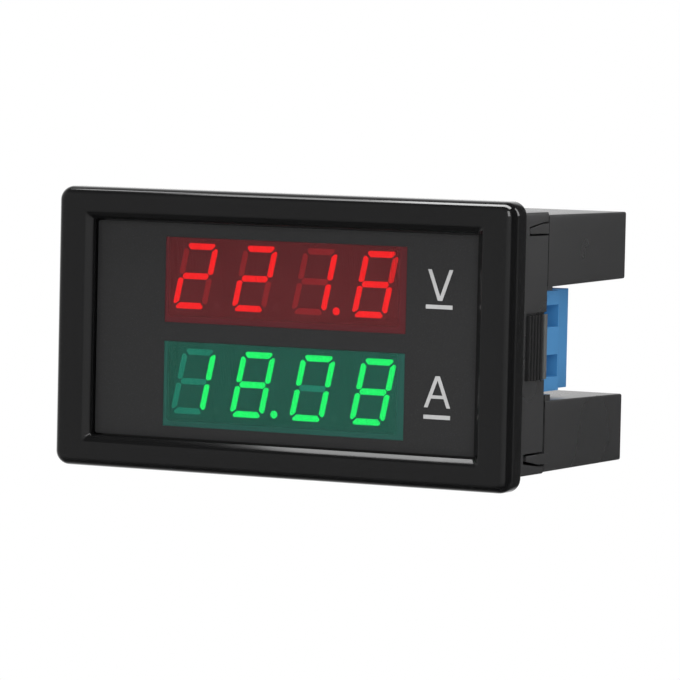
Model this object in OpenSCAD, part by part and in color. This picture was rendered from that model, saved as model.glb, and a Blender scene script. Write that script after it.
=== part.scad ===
// Digital panel meter with a voltage row and a current row.
// Millimetres. X to the right seen from the front, Y towards the rear, Z up.
// The origin is the centre of the panel cut-out, in the plane of the bezel's rear face.

/* [Bezel] */
// Width of the bezel
bezel_w = 79; // [78.5:0.5:84]
// Height of the bezel
bezel_h = 43.6; // [42.4:0.2:47]
// Thickness of the bezel, front to back
bezel_t = 4.6; // [4:0.1:5.2]
// Radius of the bezel's outer corners
bezel_corner_r = 2.2; // [2:0.1:3.2]
// Radius rolled over the bezel's front edge
bezel_edge_r = 1.6; // [0.8:0.1:1.9]
// Width of the opening that shows the face panel
opening_w = 66.6; // [64:0.2:68]
// Height of the opening that shows the face panel
opening_h = 33.7; // [32.8:0.1:34.4]
// Width of the sloped lip around the opening
lip_w = 0.9; // [0.4:0.1:1.2]
// Depth of the sloped lip around the opening
lip_depth = 1; // [0.5:0.1:1.5]

/* [Housing] */
// Width of the housing, which fills the panel cut-out
tube_w = 76.2; // [75:0.2:77]
// Height of the housing
tube_h = 39.1; // [38.6:0.1:40.4]
// Wall of the housing
tube_wall = 1.7; // [1.4:0.1:1.9]
// Depth of the housing behind the bezel
tube_depth = 10.75; // [10.6:0.05:11.6]
// Corner radius of the housing
tube_corner_r = 0.9; // [0.5:0.1:1.4]
// Width of the posts that carry the display board
post_w = 4; // [3:0.5:5]
// Width of the ledge that the face panel lies on, left and right
ledge_w = 2.4; // [1.6:0.1:2.8]

/* [Face panel] */
// Depth of the face panel below the bezel's front
panel_recess = 2.05; // [1.8:0.05:2.4]
// Thickness of the face panel
panel_t = 0.8; // [0.5:0.1:1]
// Gap all round the face panel
panel_gap = 0.25; // [0.1:0.05:0.4]
// Width of a display window
window_w = 41.8; // [41.2:0.2:44]
// Height of a display window
window_h = 13.2; // [12.8:0.1:14.2]
// Distance between the two windows' centres
window_pitch = 16.1; // [15.4:0.1:17]
// Height of the windows' middle, against the cut-out's centre
window_mid_z = -0.2; // [-0.6:0.1:0.6]

/* [Displays] */
// Width of a four-digit display
display_w = 40.2; // [39.8:0.1:41]
// Height of a display
display_h = 12.6; // [12:0.1:13]
// Depth of a display
display_t = 6; // [5.5:0.1:6.4]
// Distance between the two displays' centres
display_pitch = 16.3; // [15.6:0.1:17]
// Height of the displays' middle, against the cut-out's centre
display_mid_z = 0.35; // [-0.4:0.05:0.6]
// Sideways place of the displays
display_mid_x = -0.3; // [-1:0.1:1]
// Distance between neighbouring digits
digit_pitch = 10.4; // [10:0.05:10.5]
// Width of a digit, between its upright segments' centre lines
digit_w = 5; // [4.6:0.1:5.6]
// Height of a digit, between its top and bottom segments' centre lines
digit_h = 9.2; // [8.8:0.1:9.8]
// Width of a segment
segment_w = 0.95; // [0.7:0.05:1.1]
// Lean of the digits, in degrees
digit_slant = 12; // [8:1:13]
// Radius of a decimal point
point_r = 0.6; // [0.4:0.05:0.65]
// Distance of a decimal point from its digit's lower right corner
point_gap = 2.3; // [1.6:0.05:2.35]
// Depth of the segments in the display's face
segment_t = 0.6; // [0.3:0.1:1]
// Gap between the displays and the edge of the ledge
display_gap = 0.2; // [0.1:0.05:0.3]

/* [Rear cover] */
// Seam between the housing and the rear cover
seam = 0.4; // [0.1:0.05:0.5]
// Depth of the rear cover behind the seam
cover_depth = 28.75; // [26.5:0.25:34]
// Step from the housing's top and bottom faces down to the cover's
cover_step = 0.15; // [0.1:0.05:0.3]
// Step from the housing's sides down to the cover's
side_step = 0.1; // [0.05:0.05:0.4]
// Wall of the rear cover
cover_wall = 1.8; // [1.7:0.1:2]
// Lower edge of the upper module
bay_top = 8.6; // [8.5:0.1:9]
// Upper edge of the lower module, below the centre
bay_bottom = 8.8; // [8.5:0.1:9]
// Draft of the modules' outer faces over their depth
outer_draft = 0.25; // [0.1:0.05:0.4]
// Draft of the faces towards the bay over their depth
bay_draft = 0.45; // [0.1:0.05:0.6]
// Rounding of the modules' edges
module_edge_r = 0.55; // [0.3:0.05:0.8]
// Length of a wedge tab that locks the cover to the housing
tab_len = 6.8; // [5.5:0.1:7.2]
// Height of a wedge tab at its root
tab_root = 1.8; // [1.4:0.1:2]
// Height of a wedge tab at its tip
tab_tip = 1.1; // [0.8:0.1:1.3]
// Distance of a wedge tab's outer edge from the housing's edge
tab_edge = 1.1; // [0.9:0.1:1.4]
// Clearance round a wedge tab in its notch
tab_gap = 0.22; // [0.1:0.02:0.3]
// Clearance in front of a wedge tab's tip
tab_end_gap = 0.4; // [0.2:0.05:0.6]

/* [Panel latches] */
// Height of a latch tongue
latch_h = 10.1; // [8:0.1:11]
// Height of the latches' middle, against the cut-out's centre
latch_mid_z = -0.2; // [-0.4:0.1:0.4]
// Length of a latch tongue, front to back
latch_len = 7; // [6:0.1:7.4]
// Thickness of a latch tongue
latch_t = 1.2; // [1:0.1:1.5]
// Height of the latch's teeth over the housing
tooth_h = 0.45; // [0.2:0.05:0.6]
// Number of teeth on a latch
tooth_count = 5; // [3:1:7]
// Length of the smooth ramp behind the teeth
ramp_len = 1.5; // [1:0.1:2]
// Gap round a latch
latch_gap = 0.3; // [0.2:0.05:0.5]

/* [Terminal blocks] */
// Distance between the two poles of a block
pole_pitch = 7.62; // [7.5:0.01:7.7]
// Wall at each end of a block
end_wall = 0.02; // [0:0.02:0.1]
// Height of the blocks' middle, against the cut-out's centre
terminal_mid_z = 0.2; // [0:0.05:0.3]
// Distance of the blocks' wire side from the centre
terminal_face_x = 36.5; // [36:0.1:37]
// Depth of a block across the meter
terminal_w = 10.5; // [10.2:0.1:12]
// Inset of the screw tower behind the wire side
tower_inset = 2; // [1.6:0.1:2.2]
// Depth of a block's wire section behind its foot
wire_section = 9.7; // [9.4:0.1:10.2]
// Depth of a block's screw tower
tower_t = 7.2; // [6.8:0.1:8]
// Height of a wire entry
entry_h = 3.4; // [2.8:0.1:3.6]
// Outer height of a wire clamp
clamp_h = 5; // [4.6:0.1:5.2]
// Width of a wire clamp along the wire
clamp_w = 5; // [4:0.1:5.2]
// Depth of a wire clamp along its screw
clamp_d = 5.6; // [5.4:0.1:5.8]
// Wall of a wire clamp
clamp_wall = 0.7; // [0.5:0.05:0.9]
// Threaded wall of a wire clamp
clamp_nut = 1.2; // [1:0.05:1.4]
// Travel of a wire clamp
clamp_travel = 2.4; // [1.8:0.1:2.5]
// Clearance round a wire clamp in its pocket
clamp_gap = 0.3; // [0.25:0.05:0.4]
// Radius of a clamp screw's shank
screw_r = 1.4; // [1.2:0.05:1.5]
// Radius of a clamp screw's head
screw_head_r = 2; // [1.8:0.05:2.2]
// Height of a clamp screw's head
screw_head_t = 1.8; // [1.5:0.1:2.2]
// Running clearance of a clamp screw
screw_fit = 0.08; // [0.04:0.01:0.1]
// Thickness of a terminal's contact strip
strip_t = 0.6; // [0.4:0.05:0.8]

/* [Boards] */
// Thickness of the circuit boards
board_t = 1.2; // [1:0.1:1.6]
// Space between the display board and the main board
board_space = 2.4; // [2:0.1:2.6]
// Gap between a board's edge and the housing's inner wall
board_gap = 0.6; // [0.5:0.05:0.8]
// Width of the two module boards
module_board_w = 60; // [54:1:66]
// Depth of the two module boards
module_board_d = 24; // [22:0.5:26]
// Space under a module board
module_board_lift = 0.3; // [0.2:0.05:0.4]
// Thickness of the lead frame pins
pin_w = 0.5; // [0.4:0.05:0.64]
// Pitch of the pins
pin_pitch = 2.54; // [2.5:0.01:2.6]

/* [Hidden] */
$fn = 48;
eps = 0.01;

// The readings that the two displays show
voltage_digits = [2, 2, 1, 8];
current_digits = [1, 8, 0, 8];
voltage_point = 2;
current_point = 1;
// Segments of the digits 0 to 9, named a to g clockwise from the top with g in the middle
digit_segments = ["abcdef", "bc", "abdeg", "abcdg", "bcfg", "acdfg", "acdefg", "abc", "abcdefg", "abcdfg"];
segment_names = "abcdefg";

// Depths, from the front of the bezel to the rear of the main board
panel_y = -bezel_t + panel_recess;
display_y = panel_y + panel_t;
display_board_y = display_y + display_t;
main_board_y = display_board_y + board_t + board_space;
main_board_back = main_board_y + board_t;
tube_in_w = tube_w - 2 * tube_wall;
tube_in_h = tube_h - 2 * tube_wall;
board_w = tube_in_w - 2 * board_gap;
board_h = tube_in_h - 2 * board_gap;

// Rear cover
cover_y = tube_depth + seam;
cover_w = tube_w - 2 * side_step;
cover_h = tube_h - 2 * cover_step;
cover_back = cover_y + cover_depth;
spigot_gap = 0.12;
spigot_wall = 1;
spigot_y = main_board_back + 0.05;

// Latches
latch_y = tube_depth - 0.05 - latch_len;
latch_pitch = (latch_len - ramp_len) / tooth_count;

// Terminal blocks: depths from the main board to the rear of the screw tower
foot_y = main_board_back;
block_y = cover_y + 0.1;
wire_end_y = foot_y + wire_section;
tower_end_y = wire_end_y + tower_t;
block_in_x = terminal_face_x - terminal_w;
tower_x = terminal_face_x - tower_inset;
screw_x = (block_in_x + 0.6 + tower_x) / 2;
block_h = 2 * pole_pitch + 2 * end_wall;
pocket_y = foot_y + 1.2;
pocket_w = clamp_w + 2 * clamp_gap;
pocket_h = clamp_h + 2 * clamp_gap;
pocket_d = clamp_d + clamp_travel + 2 * clamp_gap;
clamp_y = pocket_y + clamp_gap;
neck_y = pocket_y + pocket_d;
head_y = neck_y + 1.7;
strip_y = clamp_y + clamp_wall + clamp_travel + 0.25;
strip_w = 2.8;
strip_leg_x = screw_x - pocket_w / 2 - 1;
leg_end_y = main_board_y - 1;

// Module cavities
upper_floor = bay_top + cover_wall;
lower_ceiling = -bay_bottom - cover_wall;
cavity_top = cover_h / 2 - cover_wall;
supply_z = upper_floor + module_board_lift;
sense_z = -tube_in_h / 2 + spigot_gap + spigot_wall + module_board_lift;

// A flat shape drawn in X and Z, from depth y over a thickness t
module slab(y, t) {
    translate([0, y + t, 0])
        rotate([90, 0, 0])
            linear_extrude(t)
                children();
}

// A box given by its lowest and highest corners
module block(low, high) {
    translate(low)
        cube(high - low);
}

module rounded_rect(w, h, r) {
    square([w - 2 * r, h], center = true);
    square([w, h - 2 * r], center = true);
    for (x = [-1, 1], y = [-1, 1])
        translate([x * (w / 2 - r), y * (h / 2 - r)])
            circle(r);
}

// Profile of the bezel's rim: x inwards from a corner's centre to the outside, y the height
module rim_profile(r) {
    intersection() {
        square([r, bezel_t]);
        union() {
            square([r, bezel_t - bezel_edge_r]);
            square([r - bezel_edge_r, bezel_t]);
            translate([r - bezel_edge_r, bezel_t - bezel_edge_r])
                circle(bezel_edge_r);
        }
    }
}

// A straight stretch of the rim, running along its own length
module rim_bar(len, r) {
    rotate([90, 0, 0])
        linear_extrude(len, center = true)
            rim_profile(r);
}

// The bezel lies flat, rear face down, and is turned upright by its user
module bezel_blank() {
    r = bezel_corner_r;
    w = bezel_w / 2 - r;
    h = bezel_h / 2 - r;
    translate([-w, -h, 0])
        cube([2 * w, 2 * h, bezel_t]);
    for (side = [0, 1]) {
        rotate(180 * side)
            translate([w, 0, 0])
                rim_bar(2 * h, r);
        rotate(90 + 180 * side)
            translate([h, 0, 0])
                rim_bar(2 * w, r);
    }
    for (corner = [[1, 1, 0], [-1, 1, 90], [-1, -1, 180], [1, -1, 270]])
        translate([corner[0] * w, corner[1] * h, 0])
            rotate(corner[2])
                rotate_extrude(angle = 90, $fn = 64)
                    rim_profile(r);
}

// Four-sided funnel that narrows from the front of the bezel to the opening
module opening_lip() {
    intersection() {
        lip_prism(opening_w / 2, bezel_h);
        rotate([0, 90, 0])
            lip_prism(opening_h / 2, bezel_w);
    }
}

// Wedge with sloped sides, half its width at the opening given, running along Z
module lip_prism(half, len) {
    slope = lip_w / lip_depth;
    front = 0.2;
    linear_extrude(len, center = true)
        polygon([
            [-half, -bezel_t + lip_depth],
            [half, -bezel_t + lip_depth],
            [half + lip_w + slope * front, -bezel_t - front],
            [-half - lip_w - slope * front, -bezel_t - front]
        ]);
}

// Wedge tab at the upper right corner, with a gap all round, from its tip to depth y_root
module tab(gap, end_gap, x_in, x_out, y_seam, y_root) {
    top = tube_h / 2 - tab_edge;
    tip = y_seam - tab_len - end_gap;
    translate([x_in, 0, 0])
        rotate([90, 0, 90])
            linear_extrude(x_out - x_in)
                polygon([
                    [y_root, top - tab_root - gap],
                    [tip, top - tab_root - gap],
                    [tip, top - tab_root + tab_tip + gap],
                    [y_seam - tab_len * 0.22, top + gap],
                    [y_root, top + gap]
                ]);
}

// Repeats a piece of the upper right corner at all four corners
module corners() {
    for (x = [0, 1], z = [0, 1])
        mirror([x, 0, 0])
            mirror([0, 0, z])
                children();
}

// Post in a corner of the housing, which the display board rests on
module post() {
    overlap = 0.3;
    translate([tube_in_w / 2 - post_w / 2, 0, tube_in_h / 2 - post_w / 2])
        slab(-eps, display_board_y + eps)
            square(post_w + 2 * overlap, center = true);
}

module front_frame() {
    color("#1b1b1d")
        difference() {
            union() {
                rotate([90, 0, 0])
                    bezel_blank();
                difference() {
                    slab(-eps, tube_depth + eps)
                        rounded_rect(tube_w, tube_h, tube_corner_r);
                    slab(0, tube_depth + 1)
                        rounded_rect(tube_in_w, tube_in_h, tube_corner_r / 2);
                }
                corners()
                    post();
            }
            opening_lip();
            // Room for the face panel, and the hole in the ledge behind it
            block([-opening_w / 2, -bezel_t - 1, -opening_h / 2], [opening_w / 2, display_y, opening_h / 2]);
            block(
                [-opening_w / 2 + ledge_w, display_y - 1, display_z(-1) - display_h / 2 - display_gap],
                [opening_w / 2 - ledge_w, 1, display_z(1) + display_h / 2 + display_gap]
            );
            // Notches for the cover's wedge tabs, and windows for the latches
            corners()
                tab(tab_gap, tab_end_gap, tube_w / 2 - tube_wall - 1, tube_w / 2 + 1, tube_depth, tube_depth + 1);
            for (x = [0, 1])
                mirror([x, 0, 0])
                    block(
                        [tube_in_w / 2 - 1, latch_y - latch_gap, latch_mid_z - latch_h / 2 - latch_gap],
                        [tube_w / 2 + 1, tube_depth + 1, latch_mid_z + latch_h / 2 + latch_gap]
                    );
        }
}

module windows(gap) {
    for (z = [-1, 1])
        translate([0, window_mid_z + z * window_pitch / 2])
            square([window_w - 2 * gap, window_h - 2 * gap], center = true);
}

module face_panel() {
    color("#2c2c2e")
        slab(panel_y, panel_t)
            difference() {
                rounded_rect(opening_w - 2 * panel_gap, opening_h - 2 * panel_gap, 0.4);
                windows(0);
            }
}

// A tinted window, seated in the panel's cut-out
module window_plate(side) {
    slab(panel_y + 0.03, panel_t - 0.03)
        translate([0, window_mid_z + side * window_pitch / 2])
            square([window_w - 0.06, window_h - 0.06], center = true);
}

module voltage_window() {
    color("#7a1f26", 0.6)
        window_plate(1);
}

module current_window() {
    color("#1f7a5a", 0.6)
        window_plate(-1);
}

function display_z(side) = display_mid_z + side * display_pitch / 2;
point_z = -digit_h / 2 + 0.25;
function digit_x(i) = (i - 1.5) * digit_pitch - 0.1;
function lean(points) = [for (p = points) [p[0] + p[1] * tan(digit_slant), p[1]]];
function moved(points, by) = [for (p = points) p + by];
function flipped(points, sx, sy) = [for (p = points) [p[0] * sx, p[1] * sy]];

// Top bar of a digit: mitred below, rounded off above
function top_bar(l, w) = [
    [-l + w * 0.56, -w / 2], [l - w * 0.56, -w / 2], [l, w * 0.05], [l, w * 0.3],
    [l - w * 0.24, w / 2], [-l + w * 0.24, w / 2], [-l, w * 0.3], [-l, w * 0.05]
];
// Middle bar of a digit, with both ends pointed
function middle_bar(l, w) = [
    [-l + w * 0.32, -w / 2], [l - w * 0.32, -w / 2], [l, -w * 0.16], [l, w * 0.16],
    [l - w * 0.32, w / 2], [-l + w * 0.32, w / 2], [-l, w * 0.16], [-l, -w * 0.16]
];
// Upper right upright of a digit
function upright(l, w) = [
    [-w / 2, -l + w * 0.26], [-w * 0.2, -l], [w * 0.2, -l], [w / 2, -l + w * 0.2],
    [w / 2, l - w * 0.26], [w * 0.3, l], [0, l], [-w / 2, l - w * 0.44]
];

// Outline of segment k of a digit centred on the origin, before it leans
function segment_outline(k) =
    let (
        w = segment_w,
        x = digit_w / 2,
        h = digit_h / 2,
        bar = top_bar(x - w * 0.18, w),
        up = upright(h / 2 - w * 0.34, w),
        y = h / 2
    )
    k == 0 ? moved(bar, [0, h]) :
    k == 1 ? moved(up, [x, y]) :
    k == 2 ? moved(flipped(up, 1, -1), [x, -y]) :
    k == 3 ? moved(flipped(bar, 1, -1), [0, -h]) :
    k == 4 ? moved(flipped(up, -1, -1), [-x, -y]) :
    k == 5 ? moved(flipped(up, -1, 1), [-x, y]) :
    middle_bar(x - w * 0.26, w);

function is_lit(digit, k) = len(search(segment_names[k], digit_segments[digit])) > 0;

// Segments of a display that are lit, or those that aren't, with their decimal points
module segments(side, digits, point, lit) {
    translate([display_mid_x, 0, display_z(side)])
        slab(display_y, segment_t)
            for (i = [0:3])
                translate([digit_x(i), 0]) {
                    for (k = [0:6])
                        if (is_lit(digits[i], k) == lit)
                            polygon(lean(segment_outline(k)));
                    if ((i == point) == lit)
                        translate([digit_w / 2 - digit_h / 2 * tan(digit_slant) + point_gap, point_z])
                            circle(point_r, $fn = 24);
                }
}

// Display body with a pocket for every segment
module display_body(side) {
    difference() {
        translate([display_mid_x, 0, display_z(side)])
            slab(display_y, display_t)
                square([display_w, display_h], center = true);
        segments(side, [8, 8, 8, 8], -1, true);
        segments(side, [8, 8, 8, 8], -1, false);
    }
}

module voltage_display() {
    color("#54464a")
        display_body(1);
}

module current_display() {
    color("#44544e")
        display_body(-1);
}

module voltage_segments_lit() {
    color("#ff2020")
        segments(1, voltage_digits, voltage_point, true);
}

module voltage_segments_dark() {
    color("#8c2028")
        segments(1, voltage_digits, voltage_point, false);
}

module current_segments_lit() {
    color("#20ff60")
        segments(-1, current_digits, current_point, true);
}

module current_segments_dark() {
    color("#208066")
        segments(-1, current_digits, current_point, false);
}

// Six pins above and six below on each display
module pin_rows() {
    for (side = [-1, 1], row = [-1, 1], i = [-2.5:1:2.5])
        translate([display_mid_x + i * pin_pitch, 0, display_z(side) + row * (display_h / 2 - 1.2)])
            children();
}

module display_pins() {
    color("silver")
        pin_rows()
            slab(display_board_y, board_t + 1)
                square(pin_w, center = true);
}

module header_row() {
    for (i = [-4.5:1:4.5])
        translate([i * pin_pitch, 0, 0])
            children();
}

module display_board() {
    color("#1f5c38")
        difference() {
            slab(display_board_y, board_t)
                square([board_w, board_h], center = true);
            pin_rows()
                slab(display_board_y - 1, board_t + 2)
                    circle(pin_w, $fn = 24);
            header_row()
                slab(display_board_y - 1, board_t + 2)
                    circle(pin_w, $fn = 24);
        }
}

// A flat chip with a row of legs on two sides, standing on the board at depth y
module chip(x, z, w, h, t, y, legs) {
    translate([x, 0, z]) {
        color("#202022")
            slab(y + 0.1, t - 0.1)
                square([w, h], center = true);
        color("silver")
            for (side = [-1, 1], i = [0:legs - 1])
                translate([(i - (legs - 1) / 2) * 1.27, 0, side * (h / 2 + 0.45)])
                    slab(y, 0.3)
                        square([0.45, 1.1], center = true);
    }
}

// Row of the parts soldered to the rear of the display board, above the header
part_row_z = board_h / 2 - 9.25;
controller_x = -board_w / 2 + 15.8;
resistors_x = board_w / 2 - 7.6;
resistor_pitch = 2.6;

module controller_chip() {
    chip(controller_x, part_row_z, 13, 7.5, 1.8, display_board_y + board_t, 10);
}

module driver_resistors() {
    color("#303034")
        for (i = [0:7])
            translate([resistors_x - i * resistor_pitch, 0, part_row_z])
                slab(display_board_y + board_t, 0.5)
                    square([1.25, 2], center = true);
}

// Pins that carry the display board on the main board
module board_header() {
    y = display_board_y + board_t;
    color("#202022")
        slab(y + 0.05, board_space - 0.1)
            square([10 * pin_pitch, 2.5], center = true);
    color("silver")
        header_row() {
            slab(display_board_y - 0.8, board_t + 0.85)
                square(pin_w, center = true);
            slab(main_board_y - 0.05, board_t + 0.85)
                square(pin_w, center = true);
        }
}

module main_board() {
    color("#1f5c38")
        difference() {
            slab(main_board_y, board_t)
                square([board_w, board_h], center = true);
            header_row()
                slab(main_board_y - 1, board_t + 2)
                    circle(pin_w, $fn = 24);
            both_blocks()
                poles()
                    leg(0.12);
        }
}

// Section of a module at depth y, drawn in by inset on every side
module module_section(bay_z, y, inset) {
    taper = (y - cover_y) / cover_depth;
    low = bay_z + bay_draft * taper + inset;
    high = cover_h / 2 - outer_draft / 3 * taper - inset;
    half = cover_w / 2 - outer_draft * taper - inset;
    r = max(module_edge_r - inset, 0.05);
    for (x = [-1, 1], z = [low + r, high - r])
        translate([x * (half - r), y, z])
            rotate([90, 0, 0])
                cylinder(r = r, h = eps, $fn = 20);
}

// Drafted module with rounded edges, seen as the upper one
module module_hull(bay_z) {
    r = module_edge_r;
    hull() {
        module_section(bay_z, cover_y + eps, 0);
        for (a = [0:22.5:90])
            module_section(bay_z, cover_back - r + r * sin(a), r - r * cos(a));
    }
}

// Inside of a module, whose walls are thinnest at the rear
module cavity(bay_z) {
    half = cover_w / 2 - outer_draft - cover_wall;
    block([-half, cover_y - 1, bay_z + cover_wall], [half, cover_back - cover_wall, cavity_top]);
}

// Room in the cover's floor for a terminal block, open towards the side
module block_notch() {
    block(
        [block_in_x - 0.3, cover_y - 2, terminal_mid_z - block_h / 2 - 0.3],
        [cover_w, cover_y + cover_wall + 1, terminal_mid_z + block_h / 2 + 0.3]
    );
}

// Ring that enters the housing and centres the cover
module spigot() {
    w = tube_in_w - 2 * spigot_gap;
    h = tube_in_h - 2 * spigot_gap;
    slab(spigot_y, cover_y - spigot_y + 0.5)
        difference() {
            rounded_rect(w, h, 0.4);
            square([w - 2 * spigot_wall, h - 2 * spigot_wall], center = true);
        }
}

module rear_cover() {
    floor_inset = 0.1;
    color("#232325")
        difference() {
            union() {
                module_hull(bay_top);
                mirror([0, 0, 1])
                    module_hull(bay_bottom);
                // Floor of the bay
                block(
                    [-cover_w / 2 + floor_inset, cover_y, -bay_bottom - cover_wall / 2],
                    [cover_w / 2 - floor_inset, cover_y + cover_wall, bay_top + cover_wall / 2]
                );
                corners()
                    tab(0, 0, tube_w / 2 - tube_wall + 0.1, cover_w / 2 - floor_inset, tube_depth, cover_y + 0.6);
            }
            cavity(bay_top);
            mirror([0, 0, 1])
                cavity(bay_bottom);
            both_blocks()
                block_notch();
        }
    color("#232325")
        difference() {
            spigot();
            // The spigot stops on both sides of the latch
            for (x = [-1, 1])
                translate([x * tube_in_w / 2, spigot_y, (bay_top - bay_bottom) / 2])
                    cube([6, 10, bay_top + bay_bottom], center = true);
        }
}

// Section of a latch tongue: teeth towards the outside, ramp at the rear
module latch_outline() {
    out = tube_w / 2;
    in = out - latch_t;
    teeth = [
        for (i = [0:tooth_count - 1])
            for (p = [[0.05, 0], [0.22, tooth_h], [0.62, tooth_h], [0.95, 0.1]])
                [out + p[1], latch_y + (i + p[0]) * latch_pitch]
    ];
    ramp_y = latch_y + tooth_count * latch_pitch;
    polygon(concat(
        [[in, latch_y]],
        [[out, latch_y]],
        teeth,
        [
            [out + tooth_h, ramp_y + 0.1],
            [out + tooth_h - 0.08, ramp_y + 0.5],
            [out - 0.1, latch_y + latch_len],
            [in, latch_y + latch_len]
        ]
    ));
}

module latch() {
    color("#262628")
        translate([0, 0, latch_mid_z - latch_h / 2])
            linear_extrude(latch_h)
                latch_outline();
}

module right_latch() {
    latch();
}

module left_latch() {
    mirror([1, 0, 0])
        latch();
}

module both_blocks() {
    children();
    mirror([1, 0, 0])
        children();
}

// Places a piece at a pole: up is 1 for the upper pole and -1 for the lower
module pole(up) {
    translate([0, 0, terminal_mid_z + up * pole_pitch / 2])
        children();
}

module poles() {
    for (up = [-1, 1])
        pole(up)
            children();
}

// A round hole or rod along Y at the screw's axis
module screw_rod(r, y0, y1) {
    translate([screw_x, y1, 0])
        rotate([90, 0, 0])
            cylinder(r = r, h = y1 - y0);
}

// Solder leg of a terminal, which passes through the main board
module leg(gap) {
    block(
        [strip_leg_x - gap, leg_end_y, -strip_w / 4 - gap],
        [strip_leg_x + strip_t + gap, strip_y + strip_t + gap, strip_w / 4 + gap]
    );
}

module terminal_block() {
    h = block_h / 2;
    z = terminal_mid_z;
    color("#4a7fb5")
        difference() {
            union() {
                // Foot on the board, wire section and screw tower
                block([block_in_x, foot_y, z - h], [tube_in_w / 2 - 2, block_y, z + h]);
                block([block_in_x, block_y - eps, z - h], [terminal_face_x, wire_end_y, z + h]);
                block([block_in_x + 0.6, wire_end_y - eps, z - h], [tower_x, tower_end_y, z + h]);
            }
            poles() {
                // Pocket for the clamp, wire entry, and the screw's neck and head
                block(
                    [screw_x - pocket_w / 2, pocket_y, -pocket_h / 2],
                    [screw_x + pocket_w / 2, pocket_y + pocket_d, pocket_h / 2]
                );
                block([screw_x, block_y + 0.2, -entry_h / 2], [terminal_face_x + 1, wire_end_y - 0.5, entry_h / 2]);
                screw_rod(screw_r + screw_fit, neck_y - eps, head_y + eps);
                screw_rod(screw_head_r + 0.2, head_y, tower_end_y + 1);
                leg(0.02);
                block(
                    [strip_leg_x - 0.02, strip_y - 0.02, -strip_w / 2 - 0.02],
                    [screw_x, strip_y + strip_t + 0.02, strip_w / 2 + 0.02]
                );
            }
        }
}

module terminal_block_right() {
    terminal_block();
}

module terminal_block_left() {
    mirror([1, 0, 0])
        terminal_block();
}

// Contact strip inside each clamp, bent down into its solder leg
module terminal_strips() {
    color("#c8c0a0")
        both_blocks()
            poles() {
                block(
                    [strip_leg_x, strip_y, -strip_w / 2],
                    [screw_x + clamp_w / 2, strip_y + strip_t, strip_w / 2]
                );
                leg(0);
            }
}

// Wire clamp: a frame open along the wire, with the screw's thread in its rear wall
module clamp() {
    translate([screw_x - clamp_w / 2, clamp_y, 0])
        difference() {
            block([0, 0, -clamp_h / 2], [clamp_w, clamp_d, clamp_h / 2]);
            block(
                [-1, clamp_wall, -clamp_h / 2 + clamp_wall],
                [clamp_w + 1, clamp_d - clamp_nut, clamp_h / 2 - clamp_wall]
            );
            translate([-screw_x + clamp_w / 2, 0, 0])
                screw_rod(screw_r + screw_fit, clamp_d - clamp_nut - 0.5, clamp_d + 1);
        }
}

module clamp_right_upper() {
    color("#b8b8b0")
        pole(1)
            clamp();
}

module clamp_right_lower() {
    color("#b8b8b0")
        pole(-1)
            clamp();
}

module clamp_left_upper() {
    mirror([1, 0, 0])
        clamp_right_upper();
}

module clamp_left_lower() {
    mirror([1, 0, 0])
        clamp_right_lower();
}

// Captive clamp screw with a cross recess in its head
module clamp_screw() {
    head = head_y + 0.1;
    difference() {
        union() {
            screw_rod(screw_r, strip_y + strip_t + 0.3, head + eps);
            screw_rod(screw_head_r, head, head + screw_head_t);
        }
        for (turn = [0, 90])
            translate([screw_x, head + screw_head_t, 0])
                rotate([0, turn, 0])
                    cube([2 * screw_head_r * 0.7, 1.8, 0.6], center = true);
    }
}

module screw_right_upper() {
    color("#b0b4b8")
        pole(1)
            clamp_screw();
}

module screw_right_lower() {
    color("#b0b4b8")
        pole(-1)
            clamp_screw();
}

module screw_left_upper() {
    mirror([1, 0, 0])
        screw_right_upper();
}

module screw_left_lower() {
    mirror([1, 0, 0])
        screw_right_lower();
}

// A board lying in a module, with its front edge against the main board
module module_board(z) {
    color("#1f5c38")
        block(
            [-module_board_w / 2, main_board_back, z],
            [module_board_w / 2, main_board_back + module_board_d, z + board_t]
        );
}

module supply_board() {
    module_board(supply_z);
}

// Parts on the module boards: their heights follow the room in the modules
supply_top = supply_z + board_t;
sense_top = sense_z + board_t;
part_gap = 0.4;
tall_h = cavity_top - supply_top - part_gap;
low_h = lower_ceiling - sense_top - part_gap;
lead_h = 0.05;
row_y = main_board_back + 3;
dropper_w = 8;
dropper_d = 15;
dropper_x = -module_board_w / 2 + 1;
capacitor_r = tall_h / 2 - lead_h;
capacitor_len = 11;
capacitor_x = 8;
core_w = 12;
core_d = 11;
core_wall = 1.6;
core_h = 2.8;
coil_h = tall_h;
core_x = -12;
core_y = row_y + 9;
core_z = supply_top + coil_h / 2;
leg_w = 4;
slot_w = 2.4;
bridge_w = 6;
bridge_d = 5;
regulator_w = 6.5;
regulator_d = 6;
right_x = module_board_w / 2 - 8;
burden_r = min(1.6, low_h / 2 - lead_h);
burden_len = 9;
burden_pitch = 16;
amplifier_w = 5;
amplifier_d = 4;

// Ferrite frame of the supply transformer, with a slot on each side of its middle leg
module transformer_core() {
    slot_x = (leg_w + slot_w) / 2;
    color("#3a3a3c")
        translate([core_x, core_y, core_z])
            difference() {
                cube([core_w, core_d, core_h], center = true);
                for (side = [-1, 1])
                    translate([side * slot_x, 0, 0])
                        cube([slot_w, core_d - 2 * core_wall, core_h + 1], center = true);
            }
}

// Winding on its bobbin, around the core's middle leg
module transformer_coil() {
    coil_d = core_d - 2 * core_wall - 0.2;
    coil_w = leg_w + 2 * slot_w - 0.4;
    leg_gap = 0.05;
    color("#b07030")
        translate([core_x, core_y, core_z])
            difference() {
                cube([coil_w, coil_d, coil_h], center = true);
                cube([leg_w + 2 * leg_gap, coil_d + 1, core_h + 2 * leg_gap], center = true);
            }
}

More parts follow.
